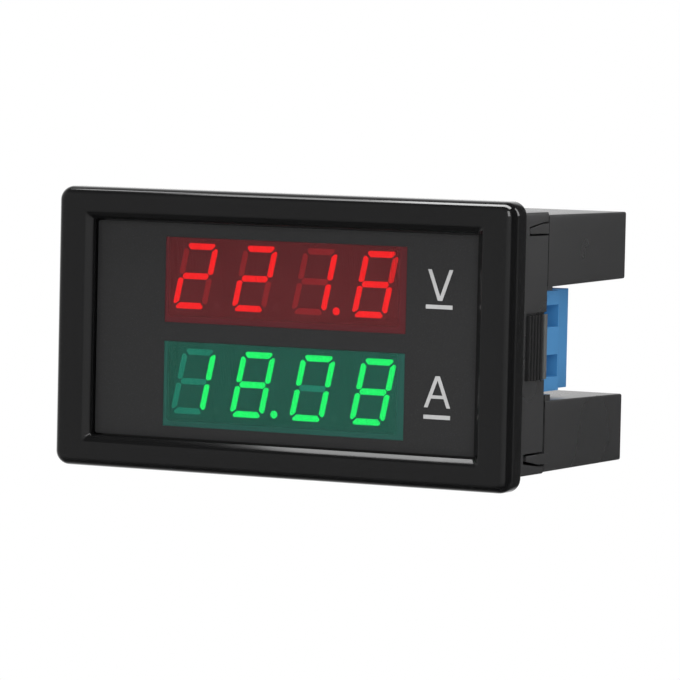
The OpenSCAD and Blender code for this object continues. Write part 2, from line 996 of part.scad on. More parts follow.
module smoothing_capacitors() {
    color("#26303c")
        for (i = [0, 1])
            translate([capacitor_x, row_y + 2 + i * 12, supply_top + lead_h + capacitor_r])
                rotate([0, 90, 0])
                    cylinder(r = capacitor_r, h = capacitor_len);
}

// A part lying on a module board, from its lowest corner
module lying(x, y, top, size) {
    translate([x, y, top])
        cube(size);
}

module dropper_capacitor() {
    color("#c8a030")
        lying(dropper_x, row_y, supply_top, [dropper_w, dropper_d, tall_h]);
}

module rectifier_bridge() {
    color("#202022")
        lying(right_x, row_y, supply_top, [bridge_w, bridge_d, 2.4]);
}

module regulator() {
    tab_w = regulator_w - 1.2;
    y = row_y + 2 * bridge_d;
    color("#202022")
        lying(right_x, y, supply_top, [regulator_w, regulator_d, 2.3]);
    color("silver")
        lying(right_x + 0.6, y + regulator_d, supply_top, [tab_w, 1.2, 0.5]);
}

module sense_board() {
    module_board(sense_z);
}

module burden_resistors() {
    color("#7a9ab0")
        for (i = [0, 1])
            translate([core_x - 8 + i * burden_pitch, core_y, sense_top + lead_h + burden_r])
                rotate([0, 90, 0])
                    cylinder(r = burden_r, h = burden_len);
}

module sense_amplifier() {
    color("#202022")
        lying(right_x - 10, row_y + 5, sense_top, [amplifier_w, amplifier_d, 1.5]);
}

front_frame();
face_panel();
voltage_window();
current_window();
voltage_display();
voltage_segments_lit();
voltage_segments_dark();
current_display();
current_segments_lit();
current_segments_dark();
display_pins();
display_board();
controller_chip();
driver_resistors();
board_header();
main_board();
rear_cover();
right_latch();
left_latch();
terminal_block_right();
terminal_block_left();
terminal_strips();
clamp_right_upper();
clamp_right_lower();
clamp_left_upper();
clamp_left_lower();
screw_right_upper();
screw_right_lower();
screw_left_upper();
screw_left_lower();
supply_board();
transformer_core();
transformer_coil();
smoothing_capacitors();
dropper_capacitor();
rectifier_bridge();
regulator();
sense_board();
burden_resistors();
sense_amplifier();
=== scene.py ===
import math
import bpy
import bmesh
import numpy as np
from mathutils import Matrix, Vector


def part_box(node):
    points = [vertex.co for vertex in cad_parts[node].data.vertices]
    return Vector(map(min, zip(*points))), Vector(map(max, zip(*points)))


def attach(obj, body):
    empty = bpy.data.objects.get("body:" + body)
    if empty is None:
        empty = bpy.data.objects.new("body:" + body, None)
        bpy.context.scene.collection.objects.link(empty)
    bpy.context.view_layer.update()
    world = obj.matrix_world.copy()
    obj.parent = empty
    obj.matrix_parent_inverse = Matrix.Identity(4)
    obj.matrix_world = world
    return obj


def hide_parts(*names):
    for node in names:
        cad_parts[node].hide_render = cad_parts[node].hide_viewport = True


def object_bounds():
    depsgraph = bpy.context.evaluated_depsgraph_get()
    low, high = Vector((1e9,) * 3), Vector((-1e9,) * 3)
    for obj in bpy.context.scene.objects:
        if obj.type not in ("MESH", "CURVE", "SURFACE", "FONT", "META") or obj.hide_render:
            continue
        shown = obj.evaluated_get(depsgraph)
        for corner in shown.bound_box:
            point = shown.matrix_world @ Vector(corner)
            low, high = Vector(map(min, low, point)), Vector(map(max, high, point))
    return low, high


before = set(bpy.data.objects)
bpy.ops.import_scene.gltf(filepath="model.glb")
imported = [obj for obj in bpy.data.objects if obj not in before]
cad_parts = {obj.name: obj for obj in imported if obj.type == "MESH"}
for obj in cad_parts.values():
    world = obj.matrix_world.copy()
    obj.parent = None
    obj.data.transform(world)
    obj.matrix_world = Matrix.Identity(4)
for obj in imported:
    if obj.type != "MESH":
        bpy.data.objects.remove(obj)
cadLow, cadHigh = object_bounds()
mm = 0.001
print("meter: frame loaded with", len(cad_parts), "nodes")


def boxMm(node):
    low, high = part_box(node)
    return np.array(low) / mm, np.array(high) / mm


frameLow, frameHigh = boxMm("front_frame")
panelLow, panelHigh = boxMm("face_panel")
coverHigh = boxMm("rear_cover")[1]
latchLow, latchHigh = boxMm("right_latch")
blockLow, blockHigh = boxMm("terminal_block_right")


view = {
    "azimuth": 27.664,   # degrees to the right of straight on
    "elevation": 3.399,
    "roll": 1.253,
    "distance": 733.09,  # mm from the middle of the bezel's front
    "side": -9.622,      # mm the bezel's middle lies to the right of the lens axis
    "rise": 0.497,       # mm it lies above the lens axis
    "lens": 254.8,
}


def makeCamera():
    # back = (sin a cos e, -cos a cos e, sin e); right and up are turned by the roll about it
    a, e, r = (math.radians(view[k]) for k in ("azimuth", "elevation", "roll"))
    back = Vector((math.sin(a) * math.cos(e), -math.cos(a) * math.cos(e), math.sin(e)))
    right = Vector((0, 0, 1)).cross(back).normalized()
    up = back.cross(right)
    rolledRight = right * math.cos(r) + up * math.sin(r)
    rolledUp = up * math.cos(r) - right * math.sin(r)
    middle = Vector((0, frameLow[1], 0))
    place = middle - rolledRight * view["side"] - rolledUp * view["rise"] + back * view["distance"]
    camera = bpy.data.objects.new("camera", bpy.data.cameras.new("camera"))
    bpy.context.scene.collection.objects.link(camera)
    turn = Matrix((rolledRight, rolledUp, back)).transposed()
    camera.matrix_world = Matrix.Translation(place * mm) @ turn.to_4x4()
    camera.data.lens = view["lens"]
    camera.data.sensor_width = 36
    camera.data.clip_start = 0.01
    camera.data.clip_end = 20
    bpy.context.scene.camera = camera


makeCamera()
print("camera placed")


def newMaterial(name):
    material = bpy.data.materials.new(name)
    material.use_nodes = True
    shader = material.node_tree.nodes["Principled BSDF"]
    return material, material.node_tree, shader


def addNode(tree, kind, **values):
    node = tree.nodes.new(kind)
    for key, value in values.items():
        setattr(node, key, value)
    return node


def setInputs(node, values):
    for key, value in values.items():
        node.inputs[key].default_value = value


def makeGroup(name, inputs, outputs):
    tree = bpy.data.node_groups.new(name, "ShaderNodeTree")
    for label, kind, value in inputs:
        made = tree.interface.new_socket(label, in_out="INPUT", socket_type=kind)
        if value is not None:
            made.default_value = value
    for label, kind in outputs:
        tree.interface.new_socket(label, in_out="OUTPUT", socket_type=kind)
    return tree, tree.nodes.new("NodeGroupInput"), tree.nodes.new("NodeGroupOutput")


def math2(tree, operation, first, second=None, clamp=False):
    node = addNode(tree, "ShaderNodeMath", operation=operation, use_clamp=clamp)
    for socket, value in zip(node.inputs, (first, second)):
        if value is None:
            continue
        if isinstance(value, (int, float)):
            socket.default_value = value
        else:
            tree.links.new(value, socket)
    return node.outputs[0]


def noise(tree, vector, scale, detail=2.0, rough=0.5):
    node = addNode(tree, "ShaderNodeTexNoise")
    setInputs(node, {"Scale": scale, "Detail": detail, "Roughness": rough})
    tree.links.new(vector, node.inputs["Vector"])
    return node.outputs["Fac"]


def remap(tree, value, low, high, toLow, toHigh):
    node = addNode(tree, "ShaderNodeMapRange")
    setInputs(node, {"From Min": low, "From Max": high, "To Min": toLow, "To Max": toHigh})
    tree.links.new(value, node.inputs["Value"])
    return node.outputs["Result"]


def objectAxes(tree):
    # The piece's own x, y and z, in metres, at the point that is shaded
    split = addNode(tree, "ShaderNodeSeparateXYZ")
    tree.links.new(addNode(tree, "ShaderNodeTexCoord").outputs["Object"], split.inputs[0])
    return split.outputs


mould = {
    "cloudScale": 60.0,
    "cloudRange": (0.15, 0.85),   # noise levels that count as no cloud and full cloud
    "fleckRange": (0.56, 0.75),
    "bumpHeight": 0.00002,
}


# Moulded grain: fine noise gives the height and the flecks, slow noise a mask for tone and gloss
def grainGroup():
    tree, source, target = makeGroup(
        "mouldGrain",
        [("Scale", "NodeSocketFloat", 4000.0), ("Depth", "NodeSocketFloat", 0.2)],
        [("Normal", "NodeSocketVector"), ("Fleck", "NodeSocketFloat"), ("Cloud", "NodeSocketFloat")],
    )
    place = addNode(tree, "ShaderNodeTexCoord").outputs["Object"]
    fine = addNode(tree, "ShaderNodeTexNoise")
    setInputs(fine, {"Detail": 3.0, "Roughness": 0.65})
    tree.links.new(place, fine.inputs["Vector"])
    tree.links.new(source.outputs["Scale"], fine.inputs["Scale"])
    cloud = noise(tree, place, mould["cloudScale"], 3.0)
    bump = addNode(tree, "ShaderNodeBump")
    bump.inputs["Distance"].default_value = mould["bumpHeight"]
    tree.links.new(source.outputs["Depth"], bump.inputs["Strength"])
    tree.links.new(fine.outputs["Fac"], bump.inputs["Height"])
    tree.links.new(bump.outputs["Normal"], target.inputs["Normal"])
    fleck = remap(tree, fine.outputs["Fac"], *mould["fleckRange"], 0.0, 1.0)
    tree.links.new(fleck, target.inputs["Fleck"])
    tree.links.new(remap(tree, cloud, *mould["cloudRange"], 0.0, 1.0), target.inputs["Cloud"])
    return tree


grain = grainGroup()


def useGrain(tree, scale, depth):
    node = addNode(tree, "ShaderNodeGroup", node_tree=grain)
    setInputs(node, {"Scale": scale, "Depth": depth})
    return node


def mixColour(tree, mask, first, second):
    node = addNode(tree, "ShaderNodeMix", data_type="RGBA")
    for name, colour in (("A", first), ("B", second)):
        if isinstance(colour, bpy.types.NodeSocket):
            tree.links.new(colour, node.inputs[name])
        else:
            node.inputs[name].default_value = (*colour, 1)
    tree.links.new(mask, node.inputs["Factor"])
    return node.outputs["Result"]


# Painted shade line that marks the step between a block's two parts
stepShadeLine = {
    "half": 0.12,    # mm from its middle to where it starts to fade
    "faded": 0.24,
    "shade": 0.35,   # its tone, as a share of the plastic's darker tone
}


# A moulded plastic: tone and gloss drift slowly over the surface, with a fine grain under them
def mouldedPlastic(name, dark, light, rough, roughSpread, grainScale, grainDepth,
                   specular=0.5, glow=None, seam=None):
    material, tree, shader = newMaterial(name)
    detail = useGrain(tree, grainScale, grainDepth)
    colour = mixColour(tree, detail.outputs["Cloud"], dark, light)
    if seam:
        # Painted shade along the step where a block's two parts meet: a narrow dark band at one depth
        away = math2(tree, "ABSOLUTE", math2(tree, "SUBTRACT", objectAxes(tree)["Y"], seam * mm))
        line = remap(tree, away, stepShadeLine["half"] * mm, stepShadeLine["faded"] * mm, 1.0, 0.0)
        colour = mixColour(tree, line, colour, [stepShadeLine["shade"] * c for c in dark])
    tree.links.new(colour, shader.inputs["Base Color"])
    if glow:
        # Painted light: an even glow in the plastic's own colour that lifts the shade in its hollows, such
        # as the wire entries
        shader.inputs["Emission Color"].default_value = (*glow, 1)
        shader.inputs["Emission Strength"].default_value = 1.0
    gloss = remap(tree, detail.outputs["Cloud"], 0.0, 1.0, rough - roughSpread, rough + roughSpread)
    tree.links.new(gloss, shader.inputs["Roughness"])
    tree.links.new(detail.outputs["Normal"], shader.inputs["Normal"])
    shader.inputs["Specular IOR Level"].default_value = specular
    return material


blockLine = blockHigh[1] - 7.05   # depth at which the two parts of a blue block meet, where a painted shade line marks the step

# Each finish: darker and lighter tone, roughness and its spread, grain scale and depth
bezelGloss = mouldedPlastic("bezelGloss", (0.0035, 0.0035, 0.0037), (0.0045, 0.0045, 0.0047),
                            0.11, 0.02, 2500, 0.02)
housingSatin = mouldedPlastic("housingSatin", (0.0285, 0.0285, 0.029), (0.0325, 0.0325, 0.033),
                              0.28, 0.03, 6000, 0.10)
latchSatin = mouldedPlastic("latchSatin", (0.011, 0.011, 0.0113), (0.013, 0.013, 0.0134),
                            0.32, 0.03, 6000, 0.10)
# Light grey of the latch ramps: a painted reflection of the bright room behind them
rampPaintedLight = mouldedPlastic("rampPaintedLight", (0.085, 0.088, 0.087), (0.092, 0.095, 0.094),
                          0.6, 0.03, 6000, 0.10, specular=0.3)
# The blue blocks' glow is painted light that brightens their shaded wire entries
terminalBlue = mouldedPlastic("terminalBlue", (0.039, 0.158, 0.31), (0.044, 0.172, 0.34),
                              0.45, 0.04, 4000, 0.05, specular=0.3,
                              glow=(0.006, 0.030, 0.085), seam=blockLine)


# Printed face film: fine flecks that catch light in a dark, even ground
def panelFilm():
    material, tree, shader = newMaterial("panelFilm")
    detail = useGrain(tree, 7000, 0.35)
    ground, fleck = (0.0155, 0.0155, 0.016), (0.055, 0.055, 0.057)
    tree.links.new(mixColour(tree, detail.outputs["Fleck"], ground, fleck), shader.inputs["Base Color"])
    shader.inputs["Roughness"].default_value = 0.5
    tree.links.new(detail.outputs["Normal"], shader.inputs["Normal"])
    return material


window = {
    "fadeOut": 0.0004,     # metres outside the display's edge where the border's tint is full
    "fadeIn": 0.0006,      # metres inside it where the display's tint is full
    "borderCover": 0.92,   # how much of what lies behind is hidden
    "displayCover": 0.6,
}


# Tinted window: clearer over the display body, more solid tint in the border around it; the border's colour
# is partly the window's tint and partly painted light bled from the display
def windowTint(name, over, border, display):
    material, tree, shader = newMaterial(name)
    low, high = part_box(display)
    axes = objectAxes(tree)
    masks = []
    for axis, start, end in (("X", low[0], high[0]), ("Z", low[2], high[2])):
        offset = math2(tree, "SUBTRACT", axes[axis], (start + end) / 2)
        inside = math2(tree, "SUBTRACT", (end - start) / 2, math2(tree, "ABSOLUTE", offset))
        masks.append(remap(tree, inside, -window["fadeOut"], window["fadeIn"], 0.0, 1.0))
    body = math2(tree, "MULTIPLY", masks[0], masks[1])
    tree.links.new(mixColour(tree, body, border, over), shader.inputs["Base Color"])
    hides = remap(tree, body, 0.0, 1.0, window["borderCover"], window["displayCover"])
    tree.links.new(hides, shader.inputs["Alpha"])
    detail = useGrain(tree, 6000, 0.2)
    tree.links.new(detail.outputs["Normal"], shader.inputs["Normal"])
    shader.inputs["Roughness"].default_value = 0.45
    return material


# Digits of the displays: their pitch, and where each decimal point lies from its digit's middle
digits = {
    "pitch": 10.4,
    "pointOut": 3.72,
    "pointWide": 0.75,
    "pointLow": 3.5,
    "pointGlow": 0.03,   # share of the glow that an unlit point keeps, a painted glow like the unlit segments'
    "cloudGlow": 0.94,   # share of the glow where the cloud is darkest
}


# Glowing segment: an even base tone, and a glow that drifts by a few hundredths over the face
def segmentGlow(name, base, glow, strength, display=None, hidden=None):
    material, tree, shader = newMaterial(name)
    detail = useGrain(tree, 3000, 0.05)
    lit = mixColour(tree, detail.outputs["Cloud"], [digits["cloudGlow"] * c for c in glow], glow)
    shader.inputs["Base Color"].default_value = (*base, 1)
    if display:
        # Unlit decimal points take the body's colour: they sit a fixed step right of each digit, low down
        low, high = boxMm(display)
        axes = objectAxes(tree)
        pitch = digits["pitch"]
        first = (low[0] + high[0]) / 2 + digits["pointOut"] + pitch / 2
        turn = math2(tree, "MULTIPLY_ADD", axes["X"], 1000 / pitch)
        turn.node.inputs[2].default_value = -first / pitch
        away = math2(tree, "PINGPONG", turn, 0.5)
        near = math2(tree, "LESS_THAN", away, digits["pointWide"] / pitch)
        pointTop = (low[2] + high[2]) / 2 - digits["pointLow"]
        below = math2(tree, "LESS_THAN", axes["Z"], pointTop * mm)
        point = math2(tree, "MULTIPLY", near, below)
        lit = mixColour(tree, point, lit, [digits["pointGlow"] * c for c in glow])
        tree.links.new(mixColour(tree, point, base, hidden), shader.inputs["Base Color"])
    tree.links.new(lit, shader.inputs["Emission Color"])
    shader.inputs["Emission Strength"].default_value = strength
    shader.inputs["Roughness"].default_value = 0.5
    return material


# Plated metal: brushed along one axis by stretching the noise, with duller spots
def platedMetal(name, colour, rough, stretch=(1, 12, 1)):
    material, tree, shader = newMaterial(name)
    place = addNode(tree, "ShaderNodeTexCoord").outputs["Object"]
    mapping = addNode(tree, "ShaderNodeMapping")
    mapping.inputs["Scale"].default_value = stretch
    tree.links.new(place, mapping.inputs["Vector"])
    streak = noise(tree, mapping.outputs["Vector"], 900.0, 3.0)
    duller = [0.8 * c for c in colour]
    tree.links.new(mixColour(tree, streak, duller, colour), shader.inputs["Base Color"])
    tree.links.new(remap(tree, streak, 0.3, 0.7, rough - 0.08, rough + 0.08), shader.inputs["Roughness"])
    shader.inputs["Metallic"].default_value = 1.0
    return material


film = panelFilm()
# The border colours hold painted light from the lit displays as well as the windows' tint
redTint = windowTint("redTint", (0.168, 0.0165, 0.0195), (0.098, 0.006, 0.010), "voltage_display")
greenTint = windowTint("greenTint", (0.0105, 0.127, 0.086), (0.007, 0.088, 0.068), "current_display")
# Display bodies: their own red and green, with painted light from their lit segments in the colour
redBody = mouldedPlastic("redBody", (0.100, 0.0160, 0.0205), (0.108, 0.0176, 0.0220),
                         0.6, 0.03, 3000, 0.1, specular=0.2)
greenBody = mouldedPlastic("greenBody", (0.013, 0.104, 0.076), (0.015, 0.110, 0.082),
                           0.6, 0.03, 3000, 0.1, specular=0.2)
redLit = segmentGlow("redLit", (0.3, 0.01, 0.01), (1.0, 0.001, 0.001), 2.3)
# Unlit segments glow faintly too: painted light that brightens their faces
redDark = segmentGlow("redDark", (0.20, 0.008, 0.012), (1.0, 0.01, 0.02), 0.33,
                      "voltage_display", (0.104, 0.0168, 0.0212))
greenLit = segmentGlow("greenLit", (0.01, 0.3, 0.1), (0.001, 1.0, 0.115), 2.45)
greenDark = segmentGlow("greenDark", (0.008, 0.19, 0.13), (0.005, 1.0, 0.62), 0.29,
                        "current_display", (0.014, 0.107, 0.079))
plate = platedMetal("platedSteel", (0.62, 0.62, 0.60), 0.32)
brass = platedMetal("tinnedBrass", (0.66, 0.60, 0.46), 0.35)
tin = platedMetal("tinnedPin", (0.7, 0.7, 0.7), 0.3)
solderMask = mouldedPlastic("solderMask", (0.012, 0.10, 0.035), (0.016, 0.12, 0.045),
                            0.3, 0.05, 2000, 0.05)
epoxy = mouldedPlastic("epoxy", (0.016, 0.016, 0.017), (0.02, 0.02, 0.021), 0.5, 0.05, 5000, 0.2)
ferrite = mouldedPlastic("ferrite", (0.03, 0.03, 0.031), (0.045, 0.045, 0.046), 0.6, 0.05, 3000, 0.3)
coilTape = mouldedPlastic("coilTape", (0.55, 0.33, 0.04), (0.62, 0.38, 0.06), 0.35, 0.05, 1500, 0.1)
sleeve = mouldedPlastic("sleeve", (0.015, 0.025, 0.05), (0.02, 0.03, 0.06), 0.3, 0.04, 1500, 0.05)
filmBox = mouldedPlastic("filmBox", (0.5, 0.32, 0.03), (0.56, 0.36, 0.04), 0.35, 0.05, 2500, 0.1)
lacquer = mouldedPlastic("lacquer", (0.16, 0.28, 0.42), (0.2, 0.32, 0.46), 0.3, 0.05, 1500, 0.05)

nodeFinish = {
    "front_frame": bezelGloss, "face_panel": film, "voltage_window": redTint, "current_window": greenTint,
    "voltage_display": redBody, "current_display": greenBody,
    "voltage_segments_lit": redLit, "voltage_segments_dark": redDark,
    "current_segments_lit": greenLit, "current_segments_dark": greenDark,
    "display_pins": tin, "display_board": solderMask, "main_board": solderMask,
    "supply_board": solderMask, "sense_board": solderMask,
    "controller_chip": epoxy, "driver_resistors": epoxy, "board_header": epoxy,
    "rectifier_bridge": epoxy, "regulator": epoxy, "sense_amplifier": epoxy,
    "rear_cover": housingSatin, "right_latch": housingSatin, "left_latch": housingSatin,
    "terminal_block_right": terminalBlue, "terminal_block_left": terminalBlue, "terminal_strips": brass,
    "transformer_core": ferrite, "transformer_coil": coilTape, "smoothing_capacitors": sleeve,
    "dropper_capacitor": filmBox, "burden_resistors": lacquer,
}
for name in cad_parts:
    finish = nodeFinish.get(name, plate)
    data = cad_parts[name].data
    data.materials.clear()
    data.materials.append(finish)
print("materials set on", len(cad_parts), "nodes")


def rectangleLoop(halfWide, halfHigh, radius, cornerSteps=10, sideSteps=12):
    # Walks round a rounded rectangle from the middle of its right side, anticlockwise seen from the front
    corners = []
    wide, high = halfWide - radius, halfHigh - radius
    angles = np.radians(np.linspace(0, 90, cornerSteps + 1))
    for quarter, (cx, cz) in enumerate(((wide, high), (-wide, high), (-wide, -high), (wide, -high))):
        turned = angles + quarter * math.pi / 2
        corners.append(np.stack([cx + radius * np.cos(turned), cz + radius * np.sin(turned)], 1))
    loop = []
    for k in range(4):
        loop.append(corners[k])
        start, end = corners[k][-1], corners[(k + 1) % 4][0]
        share = np.linspace(0, 1, sideSteps + 1)[1:-1, None]
        loop.append(start + (end - start) * share)
    return np.concatenate(loop)


def stackLoops(loops, depths):
    # One row of points per loop, each at its own depth, as (row, point, xyz)
    rows = []
    for loop, depth in zip(loops, depths):
        rows.append(np.stack([loop[:, 0], np.broadcast_to(depth, len(loop)), loop[:, 1]], 1))
    return np.array(rows)


def addMesh(name, points, faces, material, body, sharpAngle=35.0):
    data = bpy.data.meshes.new(name)
    data.from_pydata((np.asarray(points) * mm).tolist(), [], faces)
    data.validate()
    bm = bmesh.new()
    bm.from_mesh(data)
    bmesh.ops.recalc_face_normals(bm, faces=bm.faces)
    bm.to_mesh(data)
    bm.free()
    data.polygons.foreach_set("use_smooth", [True] * len(data.polygons))
    data.set_sharp_from_angle(angle=math.radians(sharpAngle))
    data.materials.append(material)
    piece = bpy.data.objects.new(name, data)
    bpy.context.scene.collection.objects.link(piece)
    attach(piece, body)
    return piece


def gridFaces(rows, columns, closeRows):
    # Quads over a grid whose columns run round, and whose rows run round too when closeRows is set
    r = np.arange(rows if closeRows else rows - 1)
    c = np.arange(columns)
    a = (r[:, None] * columns + c).ravel()
    b = (r[:, None] * columns + (c + 1) % columns).ravel()
    nextRow = ((r[:, None] + 1) % rows) * columns
    d = (nextRow + c).ravel()
    e = (nextRow + (c + 1) % columns).ravel()
    return np.stack([a, b, e, d], 1).tolist()


def ringPiece(name, grid, material, body, sharpAngle=35.0):
    # A ring: both directions of the grid close on themselves
    rows, columns = grid.shape[:2]
    return addMesh(name, grid.reshape(-1, 3), gridFaces(rows, columns, True), material, body, sharpAngle)


def cappedPiece(name, grid, material, body, sharpAngle=35.0):
    # A plug: the first and last rows are closed by flat faces
    rows, columns = grid.shape[:2]
    faces = gridFaces(rows, columns, False)
    faces.append(list(range(columns)))
    faces.append(list(range((rows - 1) * columns, rows * columns)))
    return addMesh(name, grid.reshape(-1, 3), faces, material, body, sharpAngle)


def prismPiece(name, outline, low, high, place, material, body, bevel=0.0):
    # Extrudes an outline between two heights; place turns (u, v, height) into x, y, z
    outline = np.asarray(outline, float)
    count = len(outline)
    points = np.concatenate([place(outline[:, 0], outline[:, 1], np.full(count, h)) for h in (low, high)])
    faces = [[k, (k + 1) % count, count + (k + 1) % count, count + k] for k in range(count)]
    faces += [list(range(count)), list(range(count, 2 * count))]
    piece = addMesh(name, points, faces, material, body, 30.0)
    if bevel:
        edge = piece.modifiers.new("edge", "BEVEL")
        edge.width = bevel * mm
        edge.segments = 2
        edge.limit_method = "ANGLE"
        edge.angle_limit = math.radians(30)
    return piece


def fromFront(u, v, height):
    return np.stack([u, height, v], 1)


def fromSide(u, v, height):
    return np.stack([height, u, v], 1)


bezel = {
    "corner": 2.2,
    "edge": 1.6,         # how far the roll reaches in from the side
    "edgeDeep": 1.9,     # how far it reaches back from the front
    "openingWide": 66.6,
    "openingHigh": 33.7,
    "lipWide": 1.05,
    "lipDeep": 1.0,
    "ledge": 2.4,
    "ledgeTop": 15.05,
    "crown": 0.25,
    "softCorner": 1.2,
}
housing = {
    "wide": 76.2,
    "high": 39.73,
    "rise": 0.18,         # its middle lies this much above the bezel's
    "wall": 1.7,
    "corner": 0.35,
    "latchGap": 0.08,
    "seam": 0.4,
    "seamStep": 0.35,     # extra gap below the latch
    "rimEdge": 0.12,      # flat that breaks the rear rim's outer corner
    "nudge": 0.012,       # how far either side of a step its two stations stand
}
tabSlope = 0.22   # share of a tab's length behind which its outer edge runs straight
# Wedge tabs of the cover: how far from the middle the outer edge lies, length, heights and gaps
tabs = {
    "upper": {"top": 18.35, "len": 6.1, "root": 1.6, "tip": 0.9, "gap": 0.24, "endGap": 0.5},
    "lower": {"top": 18.25, "len": 5.9, "root": 1.6, "tip": 0.85, "gap": 0.34, "endGap": 1.1},
}


def makeBezel():
    # Rim profile: straight side, a quarter ellipse, a front that falls away towards the opening as the
    # square of the way across, the lip's flat slope between two small rounds, and the well behind it
    halfWide, halfHigh = frameHigh[0], frameHigh[2]
    openWide, openHigh = bezel["openingWide"] / 2, bezel["openingHigh"] / 2
    front = frameLow[1]
    edge, deep, crown, lip = (bezel[k] for k in ("edge", "edgeDeep", "crown", "lipWide"))
    outer = [(0.2, 0.0), (0.05, -0.04), (0.0, -0.2), (0.0, front + deep)]
    for a in np.radians(np.linspace(6, 90, 15)):
        outer.append((edge - edge * math.cos(a), front + deep - deep * math.sin(a)))
    across = halfWide - openWide - edge - lip
    loops, depths = [], []
    for u, y in outer:
        loops.append(rectangleLoop(halfWide - u, halfHigh - u, max(bezel["corner"] - u, 0.5)))
        depths.append(y)
    for share in np.linspace(0.15, 0.9, 6):
        u = edge + across * share
        v = lip + across * (1 - share)
        radius = bezel["softCorner"] * math.sin(math.pi * share) + 0.5
        outerLoop = rectangleLoop(halfWide - u, halfHigh - u, radius)
        innerLoop = rectangleLoop(openWide + v, openHigh + v, radius)
        loops.append(outerLoop + (innerLoop - outerLoop) * share)
        depths.append(front + crown * share**2)
    inner = [(lip + 0.1, crown * 0.99), (lip + 0.02, crown + 0.02), (lip - 0.05, crown + 0.08)]
    foot = bezel["lipDeep"]
    inner += [(0.05, foot - 0.05), (0.01, foot + 0.02), (0.0, foot + 0.15)]
    for v, down in inner:
        loops.append(rectangleLoop(openWide + v, openHigh + v, 0.25 + 0.3 * v))
        depths.append(front + down)
    well = panelHigh[1]
    for v, y in ((0.0, well), (-bezel["ledge"], well), (-bezel["ledge"], 0.0)):
        loops.append(rectangleLoop(openWide + v, min(openHigh, bezel["ledgeTop"]) if v else openHigh, 0.25))
        depths.append(y)
    ring = ringPiece("bezelRing", stackLoops(loops, depths), bezelGloss, "meter", 40.0)
    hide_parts("front_frame")
    return ring


def tabLevels(tab):
    # Heights at which the tab's notch starts, ends at the tip, and ends at the root
    top = tab["top"]
    low = top - tab["root"]
    return low - tab["gap"], low + tab["tip"] + tab["gap"], top + tab["gap"]


def rearDepth(x, z):
    # Depth of the housing's rear rim: full, but cut back for the latch window and the cover's wedge tabs
    full = frameHigh[1]
    if abs(x) < housing["wide"] / 2 - housing["wall"] - 0.4:
        return full
    if latchLow[2] - housing["latchGap"] < z < latchHigh[2] + housing["latchGap"]:
        return latchLow[1] - housing["latchGap"]
    tab = tabs["upper" if z > 0 else "lower"]
    low, tipTop, top = tabLevels(tab)
    across = abs(z)
    tip = full - tab["len"] - tab["endGap"]
    rim = full if z > 0 or across > top else full - housing["seamStep"]
    if low < across < tipTop:
        return tip
    if tipTop <= across < top:
        slopeEnd = full - tab["len"] * tabSlope
        return tip + (slopeEnd - tip) * (across - tipTop) / (top - tipTop)
    return rim


def makeHousing():
    # The wall is walked round with extra stations just before and after every step of its rear rim
    halfWide, halfHigh = housing["wide"] / 2, housing["high"] / 2
    outer = rectangleLoop(halfWide, halfHigh, housing["corner"], 6, 3)
    wall = housing["wall"]
    levels = [*tabLevels(tabs["upper"])] + [-level for level in tabLevels(tabs["lower"])]
    levels += [latchHigh[2] + housing["latchGap"], latchLow[2] - housing["latchGap"]]
    stations = [tuple(point) for point in outer]
    rise = housing["rise"]
    for side in (1, -1):
        for level in levels:
            for nudge in (-housing["nudge"], housing["nudge"]):
                stations.append((side * halfWide, level - rise + nudge))

    def along(point):
        # Distance round the wall, by the angle from the middle on a square scale
        x, z = point[0] / halfWide, point[1] / halfHigh
        if abs(x) >= abs(z):
            return (z / abs(x) if x > 0 else 4 - z / abs(x)) % 8
        return (2 - x / abs(z) if z > 0 else 6 + x / abs(z)) % 8

    outline = np.array(sorted(set(stations), key=along))
    inside = outline.copy()
    inside[:, 0] = np.clip(outline[:, 0], -(halfWide - wall), halfWide - wall)
    inside[:, 1] = np.clip(outline[:, 1], -(halfHigh - wall), halfHigh - wall)
    outline[:, 1] += rise
    inside[:, 1] += rise
    depth = np.array([rearDepth(x, z) for x, z in outline])
    edge = housing["rimEdge"]
    nearly = outline + (inside - outline) * (edge / wall)
    rows = [outline, outline, nearly, inside, inside]
    depths = [np.zeros(len(outline)), depth - edge, depth, depth, np.zeros(len(outline))]
    grid = stackLoops(rows, depths)
    shell = ringPiece("housingShell", grid, housingSatin, "meter", 25.0)
    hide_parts("front_frame")
    return shell


makeBezel()
makeHousing()
print("bezel and housing made")


cover = {
    "side": 0.1,
    "top": 19.6,
    "bottom": 19.52,
    "bayTop": 8.6,
    "bayBottom": 8.6,
    "outerDraft": 0.25,
    "bayDraft": 0.45,
    "edge": 0.32,
    "floor": 1.8,
    "floorIn": 0.1,      # the floor's ends stand this much inside the modules'
    "blockGap": 0.3,     # clearance round the terminal blocks
    "tabRun": 1.5,       # how far a lower tab runs on behind the seam
}
seamY = frameHigh[1] + housing["seam"]
coverWide = housing["wide"] - 2 * cover["side"]


def makeModule(name, bay, reach, sign):
    # Section at depth y: the bay face, the outer face and the ends drift inwards in proportion to the depth
    long = coverHigh[1] - seamY
    radius = cover["edge"]
    rounding = [(seamY, 0.0), (coverHigh[1] - radius, 0.0)]
    for a in np.radians(np.linspace(12, 90, 8)):
        rounding.append((coverHigh[1] - radius + radius * math.sin(a), radius - radius * math.cos(a)))
    loops, depths = [], []
    for y, inset in rounding:
        share = (y - seamY) / long
        low = bay + cover["bayDraft"] * share + inset
        high = reach - cover["outerDraft"] / 3 * share - inset
        half = coverWide / 2 - cover["outerDraft"] * share - inset
        loop = rectangleLoop(half, (high - low) / 2, max(radius - inset, 0.06), 6, 8)
        loop = loop + np.array([0, (high + low) / 2])
        loops.append(loop * np.array([1, sign]))
        depths.append(y)
    body = cappedPiece(name, stackLoops(loops, depths), housingSatin, "meter", 40.0)
    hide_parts("rear_cover")
    return body


